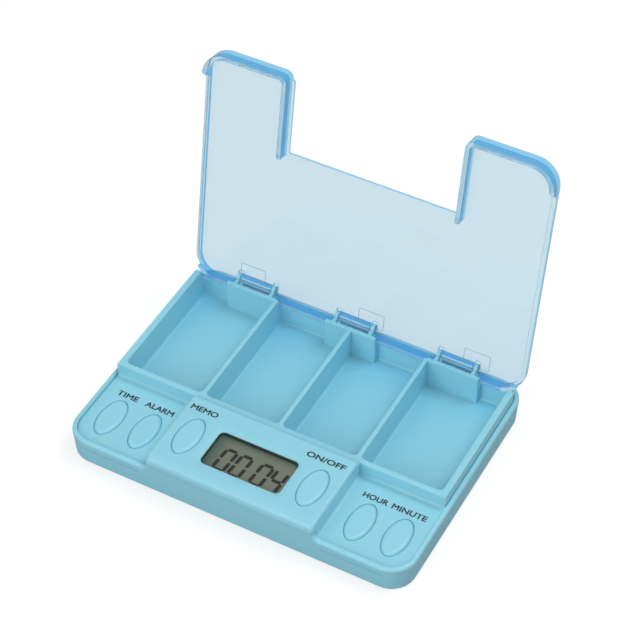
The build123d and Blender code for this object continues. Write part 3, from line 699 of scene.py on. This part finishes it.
def add_ring(name, flat, wall_mm, height_mm, place, material, body):
    """Turns the flat face of a bmesh into a ring and adds it as a piece."""
    middle_faces = flat.faces[:]
    bmesh.ops.inset_region(flat, faces=middle_faces, thickness=wall_mm, use_boundary=True)
    bmesh.ops.delete(flat, geom=middle_faces, context="FACES")
    draw_up(flat, height_mm)
    add_piece(name, flat, place, material, body)


# %% [markdown]
# A dark line runs round the display inside its window, where the window's walls stand in shade. That
# shade is painted: a thin dark ring stands just inside the opening, from the film up to below the
# console's face.

# %% Painted shade in the display's window
# The ring's dark colour is painted shade of the window's walls
shade_ring_paint = grained_solid("painted_shade_ring_dark", "#34433F", roughness=0.7, grain_mm=0.2)
window_middle_y_mm = -28.3
window_size_mm = (26.6, 13.6)
window_corner_mm = 1.8
shade_ring_gap_mm = 0.02
shade_ring_wall_mm = 0.12
shade_ring_bottom_mm = 13.22
shade_ring_top_mm = 14.15
shade_ring_size_mm = [side - 2 * shade_ring_gap_mm for side in window_size_mm]
# This ring paints the walls' shade inside the window
add_ring(
    "window_shade_ring",
    rounded_face(shade_ring_size_mm, window_corner_mm),
    shade_ring_wall_mm,
    shade_ring_top_mm - shade_ring_bottom_mm,
    Matrix.Translation((0, window_middle_y_mm, shade_ring_bottom_mm)),
    shade_ring_paint,
    "base",
)

# %% [markdown]
# The gap round each key shows as a soft narrow line, not as a black slot. A thin oval ring low in the
# gap, in the keys' own colour, closes it from below. It belongs to the case, so it stays when a key goes
# down.

# %% Soft seals round the keys
key_middle_y_mm = -28.2
key_half_width_mm = 3.8
key_half_length_mm = 7.3
seal_gap_mm = 0.01
seal_wall_mm = 0.13
seal_top_drop_mm = 0.5
seal_height_mm = 0.45
# Each key has the place of its middle along X and the height of its panel
key_places_mm = {
    "time": (-48.3, low_panel_z_mm),
    "alarm": (-36.4, low_panel_z_mm),
    "memo": (-20.8, console_z_mm),
    "on_off": (20.8, console_z_mm),
    "hour": (36.4, low_panel_z_mm),
    "minute": (48.3, low_panel_z_mm),
}
seal_reach_mm = seal_gap_mm + seal_wall_mm
for key_name, (middle_x_mm, panel_z_mm) in key_places_mm.items():
    seal_bottom_mm = panel_z_mm - seal_top_drop_mm - seal_height_mm
    add_ring(
        "seal_" + key_name,
        oval_face(key_half_width_mm + seal_reach_mm, key_half_length_mm + seal_reach_mm),
        seal_wall_mm,
        seal_height_mm,
        Matrix.Translation((middle_x_mm, key_middle_y_mm, seal_bottom_mm)),
        key_plastic,
        "base",
    )

# %% [markdown]
# Where the tool for the lid has inserts for the hinge barrels, their edges leave faint rectangles on the
# plate. They are raised by a few hundredths of a millimetre, so each is a very low ring on the outside of
# the lid. They are placed as on the closed lid, level above the hinge, and then turned open with it.

# %% Mould lines on the lid
mould_line = grained_solid("mould_line", "#7FA9BE", roughness=0.4, grain_mm=0.2)
line_box_mm = (8.8, 5.6)
line_corner_mm = 0.5
line_width_mm = 0.14
line_height_mm = 0.04
line_middles_x_mm = (-37.6, 4.4, 40.6)
line_middle_from_hinge_mm = -1.8
lid_top_from_hinge_mm = 1.6
pins_low, pins_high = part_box("hinge_pins")
hinge_mm = (pins_low + pins_high) / 2 / MM
lid_turn = Matrix.Translation(hinge_mm) @ Matrix.Rotation(-radians(lid_open_degrees), 4, "X")
for index, middle_x_mm in enumerate(line_middles_x_mm):
    on_lid = Matrix.Translation((middle_x_mm, line_middle_from_hinge_mm, lid_top_from_hinge_mm))
    add_ring(
        f"mould_line_{index + 1}",
        rounded_face(line_box_mm, line_corner_mm),
        line_width_mm,
        line_height_mm,
        lid_turn @ on_lid,
        mould_line,
        "lid",
    )

# %% [markdown]
# The digits of a liquid crystal display are seven bars each. A bar starts as a flat grid of one face and
# its corners are bevelled off. The same bar serves for all, laid level or upright and moved to its place.

# %% One bar of a digit
bar_thickness_mm = 1.12
bar_corner_share = 0.4


def add_bar(bars, middle_mm, length_mm, upright):
    """Adds one flat bar with cut corners to the bmesh bars."""
    corners = bmesh.ops.create_grid(bars, x_segments=1, y_segments=1, size=0.5)["verts"]
    size = (bar_thickness_mm, length_mm, 1.0) if upright else (length_mm, bar_thickness_mm, 1.0)
    bmesh.ops.scale(bars, vec=size, verts=corners)
    bmesh.ops.translate(bars, vec=(*middle_mm, 0.0), verts=corners)
    bmesh.ops.bevel(
        bars,
        geom=corners,
        offset=bar_thickness_mm * bar_corner_share,
        affect="VERTICES",
        segments=2,
        profile=0.5,
        material=-1,
    )


# %% The seven places for a bar
digit_height_mm = 8.1
digit_width_mm = 3.5
bar_gap_mm = 0.28
upright_cut_share = 0.35
level_cut_share = 0.2
half_height_mm = digit_height_mm / 2
half_width_mm = digit_width_mm / 2
upright_length_mm = half_height_mm - bar_gap_mm - bar_thickness_mm * upright_cut_share
level_length_mm = digit_width_mm - bar_gap_mm - bar_thickness_mm * level_cut_share
bar_places = {
    "top": ((0, half_height_mm), level_length_mm, False),
    "middle": ((0, 0), level_length_mm, False),
    "bottom": ((0, -half_height_mm), level_length_mm, False),
    "upper_left": ((-half_width_mm, half_height_mm / 2), upright_length_mm, True),
    "upper_right": ((half_width_mm, half_height_mm / 2), upright_length_mm, True),
    "lower_left": ((-half_width_mm, -half_height_mm / 2), upright_length_mm, True),
    "lower_right": ((half_width_mm, -half_height_mm / 2), upright_length_mm, True),
}
zero = ("top", "bottom", "upper_left", "upper_right", "lower_left", "lower_right")
four = ("middle", "upper_left", "upper_right", "lower_right")
print("bars are", round(upright_length_mm, 2), "and", round(level_length_mm, 2), "mm long")

# %% [markdown]
# A digit leans a little to the right, which a matrix with one shear term does to all its bars at once.
# The four digits lie on the front film as one film of dark crystal.

# %% Put digits together
digit_lean = 0.075
digit_film_mm = 0.02
digit_lift_mm = 0.01
digit_middle_y_mm = -30.15
# Each digit has the place of its middle along X and its lit bars
digits_shown = ((-7.25, zero), (-2.1, zero), (4.9, zero), (9.85, four))
digit_dark = grained_solid("crystal_dark", "#2B2A28", roughness=0.3, grain_mm=0.2, depth_mm=0.002)
film_top_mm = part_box("display_polariser")[1][2] / MM
lean = Matrix.Identity(4)
lean[0][1] = digit_lean
all_bars = bmesh.new()
for middle_x_mm, lit_bars in digits_shown:
    digit = bmesh.new()
    for bar in lit_bars:
        add_bar(digit, *bar_places[bar])
    move = Matrix.Translation((middle_x_mm, digit_middle_y_mm, film_top_mm + digit_lift_mm))
    bmesh.ops.transform(digit, matrix=move @ lean, verts=digit.verts)
    digit_mesh = bpy.data.meshes.new("digit")
    digit.to_mesh(digit_mesh)
    digit.free()
    all_bars.from_mesh(digit_mesh)
    bpy.data.meshes.remove(digit_mesh)
draw_up(all_bars, digit_film_mm)
add_piece("display_digits", all_bars, Matrix.Identity(4), digit_dark, "base")

# %% [markdown]
# The box stands on a white table much larger than the picture. It is a round sheet and not a backdrop
# with a wall, so the box looks the same from every side. Its paint is matte, with no mirror-like part.

# %% Table
table_radius = 3.0
sheet = bmesh.new()
bmesh.ops.create_circle(sheet, cap_ends=True, segments=smooth_steps, radius=table_radius)
bmesh.ops.recalc_face_normals(sheet, faces=sheet.faces)
table_mesh = bpy.data.meshes.new("table")
sheet.to_mesh(table_mesh)
sheet.free()
table = bpy.data.objects.new("table", table_mesh)
bpy.context.scene.collection.objects.link(table)
table_paint, table_shader = new_material("table_white")
table.data.materials.append(table_paint)
print("table across, m:", 2 * table_radius)

# %% [markdown]
# A white background could come from strong lamps, but they would wash out the box. So the table's paint
# is grey and shines by itself, only where the camera sees it or looks at it through the lid, and the
# lamps' light on top of that leaves the shadow visible. Further out the lamps fade, so the shine grows
# with the distance from the box. The Light Path node tells one kind of ray from another.


# %% White that stays white
def seen_directly(material):
    """One for the camera's view and its view through the lid, zero for light that falls on things."""
    rays = add_node(material, "ShaderNodeLightPath")
    # Diffuse Depth counts the bounces off matte things, so below a half means none
    no_bounce = add_node(
        material,
        "ShaderNodeMath",
        {"operation": "LESS_THAN"},
        {0: rays.outputs["Diffuse Depth"], 1: 0.5},
    )
    through_lid = add_node(
        material,
        "ShaderNodeMath",
        {"operation": "MULTIPLY"},
        {0: rays.outputs["Is Transmission Ray"], 1: no_bounce.outputs[0]},
    )
    return add_node(
        material,
        "ShaderNodeMath",
        {"operation": "MAXIMUM"},
        {0: rays.outputs["Is Camera Ray"], 1: through_lid.outputs[0]},
    ).outputs[0]


# %% The table's paint
table_grey = "#AAAAAA"
near_distance = 0.2
far_distance = 0.7
near_shine = 0.67
far_shine = 0.86
table_place = add_node(table_paint, "ShaderNodeTexCoord").outputs["Object"]
distance = add_node(table_paint, "ShaderNodeVectorMath", {"operation": "LENGTH"}, {0: table_place})
brightness = add_node(
    table_paint,
    "ShaderNodeMapRange",
    inputs={
        "Value": distance.outputs["Value"],
        "From Min": near_distance,
        "From Max": far_distance,
        "To Min": near_shine,
        "To Max": far_shine,
    },
)
shine = add_node(
    table_paint,
    "ShaderNodeMath",
    {"operation": "MULTIPLY"},
    {0: seen_directly(table_paint), 1: brightness.outputs["Result"]},
)
table_look = {
    "Base Color": linear(table_grey),
    "Roughness": 0.9,
    "Specular IOR Level": 0.0,
    "Emission Color": white,
    "Emission Strength": shine.outputs[0],
}
fill(table_paint, table_shader, table_look)
print("the table shines from", near_shine, "to", far_shine)

# %% [markdown]
# The box stands in an even white room, as in a light tent. The room's light falls on the box at less than
# half of full white, and only where the room is seen itself does it show as full white.

# %% Room light
room_level_on_things = 0.45
room_level_seen = 1.0
room = bpy.data.worlds.new("room")
bpy.context.scene.world = room
room.use_nodes = True
room_level = add_node(
    room,
    "ShaderNodeMapRange",
    inputs={"Value": seen_directly(room), "To Min": room_level_on_things, "To Max": room_level_seen},
)
room_light = room.node_tree.nodes["Background"]
fill(room, room_light, {"Color": white, "Strength": room_level.outputs["Result"]})
print("room light on things:", room_level_on_things)

# %% [markdown]
# Two soft boxes light the pill box. One hangs high up behind it on the right and draws the highlights on
# the edges of the keys and the case. The other is larger, stands in front at half a metre's height and
# fills the front wall. A small lamp would give hard shadows, so both are wide area lamps.

# %% Soft boxes
box_middle = Vector((0.0, 0.0, 0.02))


def soft_box(name, place, size, watts):
    """A square area lamp that faces the middle of the box."""
    lamp = bpy.data.lights.new(name, "AREA")
    lamp.size = size
    lamp.energy = watts
    holder = bpy.data.objects.new(name, lamp)
    bpy.context.scene.collection.objects.link(holder)
    holder.location = place
    aim = box_middle - Vector(place)
    holder.rotation_euler = aim.to_track_quat("-Z", "Y").to_euler()
    print(name, "is", round(aim.length, 2), "m from the box")


soft_box("key_box", place=(0.34, 0.30, 0.86), size=0.5, watts=3.9)
soft_box("fill_box", place=(-0.15, -0.9, 0.5), size=0.7, watts=4.4)

# %% [markdown]
# The camera stands in front on the right and looks down at the box. A long lens from over half a metre
# away keeps the sides nearly parallel. Its heading, height angle and slight roll were matched to the
# edges of the real box in its photograph.

# %% Camera
heading_degrees = 28.89
downward_degrees = 45.84
roll_degrees = -0.45
camera_place = (0.21245, -0.37026, 0.48760)
camera_lens = bpy.data.cameras.new("camera")
camera_lens.sensor_width = 36.0
camera_lens.lens = 119.87
camera = bpy.data.objects.new("camera", camera_lens)
bpy.context.scene.collection.objects.link(camera)
turned = (
    Matrix.Rotation(radians(heading_degrees), 4, "Z")
    @ Matrix.Rotation(radians(90 - downward_degrees), 4, "X")
    @ Matrix.Rotation(radians(roll_degrees), 4, "Z")
)
camera.matrix_world = Matrix.Translation(camera_place) @ turned
bpy.context.scene.camera = camera
bpy.context.scene.view_settings.view_transform = "Standard"
print("camera lens, mm:", round(camera_lens.lens, 2))
